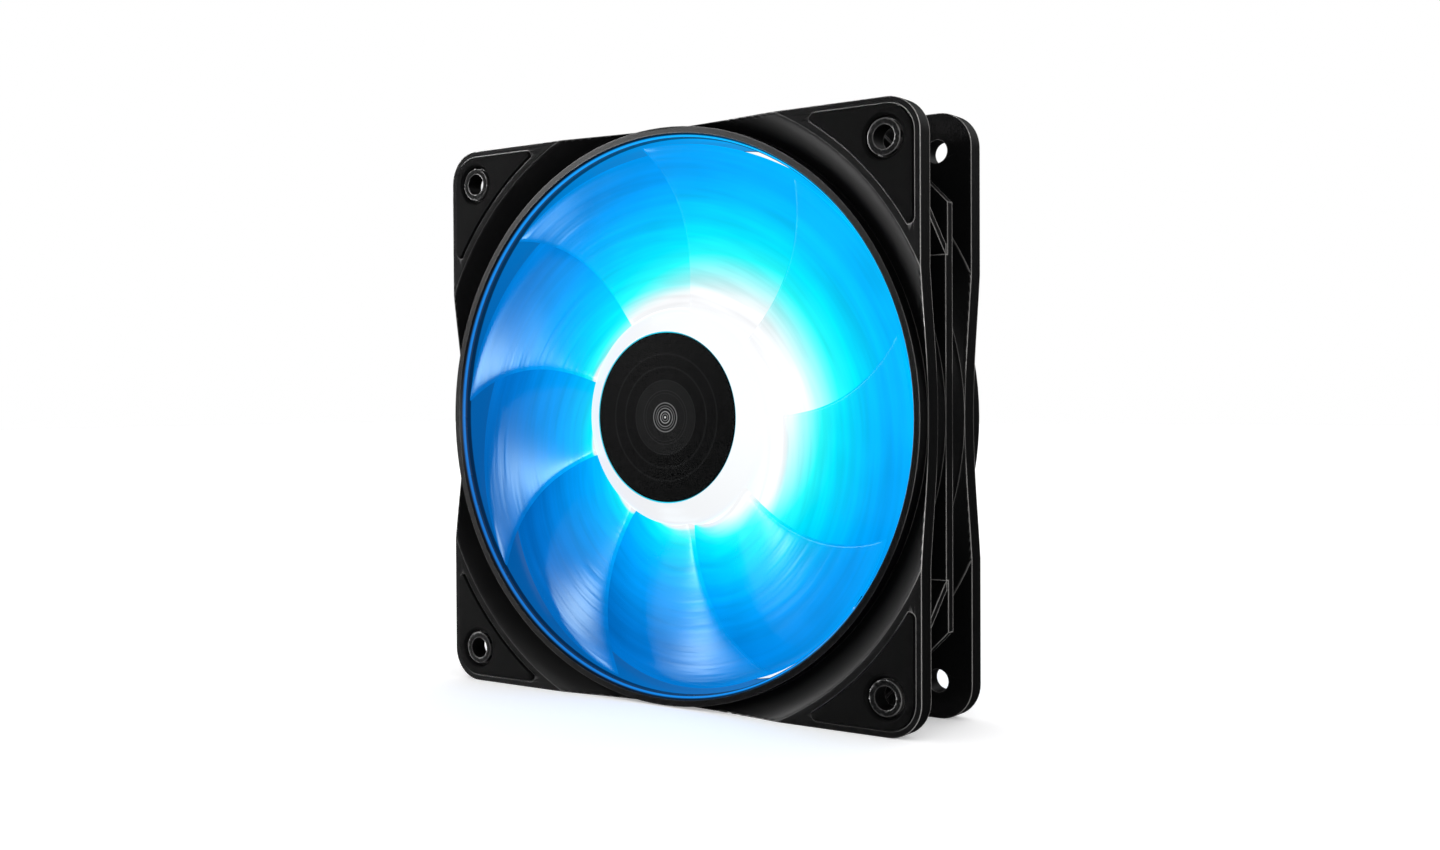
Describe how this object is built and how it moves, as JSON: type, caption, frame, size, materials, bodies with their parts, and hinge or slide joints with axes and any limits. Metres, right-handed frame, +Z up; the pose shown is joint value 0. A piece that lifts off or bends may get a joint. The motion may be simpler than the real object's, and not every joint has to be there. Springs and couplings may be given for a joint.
{
  "type": "case fan",
  "caption": "Square axial computer case fan with a lit translucent impeller, dished flanges with screw holes and rubber corner pads, and a brushless motor in the hub.",
  "frame": {"origin": "on the spin axis, half way between the front and rear pads: the centre of the fan", "axes": "+Y along the spin axis towards the exhaust side, the intake side faces -Y; +Z up, +X to the right seen from the intake side"},
  "size_m": [0.12, 0.026, 0.12],
  "materials": {
    "frame_plastic": "fine-grained black ABS, smoother and glossier in the dish and on the lip",
    "pad_rubber": "smooth matte black rubber",
    "impeller_plastic": "milky translucent plastic, lit blue from the hub",
    "cap_foil": "black disc with fine spun rings",
    "brass": "turned brass",
    "bronze": "sintered oil-filled bronze",
    "steel": "drawn and ground steel",
    "lamination": "stacked silicon-steel sheet",
    "copper": "enamelled copper wire",
    "magnet": "bonded ferrite",
    "nylon": "natural nylon",
    "board": "green solder mask on glass-epoxy board",
    "chip": "moulded epoxy",
    "ceramic": "fired ceramic with tinned ends",
    "led": "clear lens over phosphor",
    "label": "satin silver foil, blank",
    "seal_rubber": "soft black rubber"
  },
  "bodies": {
    "frame": {"frame": "frame_plastic", "front_pad_top_right": "pad_rubber", "front_pad_top_left": "pad_rubber", "front_pad_bottom_left": "pad_rubber", "front_pad_bottom_right": "pad_rubber", "rear_pad_top_right": "pad_rubber", "rear_pad_top_left": "pad_rubber", "rear_pad_bottom_left": "pad_rubber", "rear_pad_bottom_right": "pad_rubber", "bearing_housing": "brass", "bearing_sleeve": "bronze", "bearing_plug": "seal_rubber", "thrust_pad": "nylon", "oil_seal": "seal_rubber", "stator_core": "lamination", "front_insulator": "nylon", "rear_insulator": "nylon", "stator_coils": "copper", "driver_board": "board", "driver_chip": "chip", "hall_sensor": "chip", "board_capacitors": "ceramic", "board_resistors": "chip", "led_lights": "led", "rear_label": "label"},
    "rotor": {"impeller": "impeller_plastic", "hub_cap": "cap_foil", "rotor_yoke": "steel", "ring_magnet": "magnet", "shaft": "steel", "shaft_bush": "brass", "retaining_clip": "nylon", "thrust_washer": "steel"}
  },
  "joints": [
    {"name": "rotor_spin", "type": "hinge", "parent": "frame", "child": "rotor", "pos_m": [0, 0, 0], "axis": [0, -1, 0], "continuous": true}
  ]
}
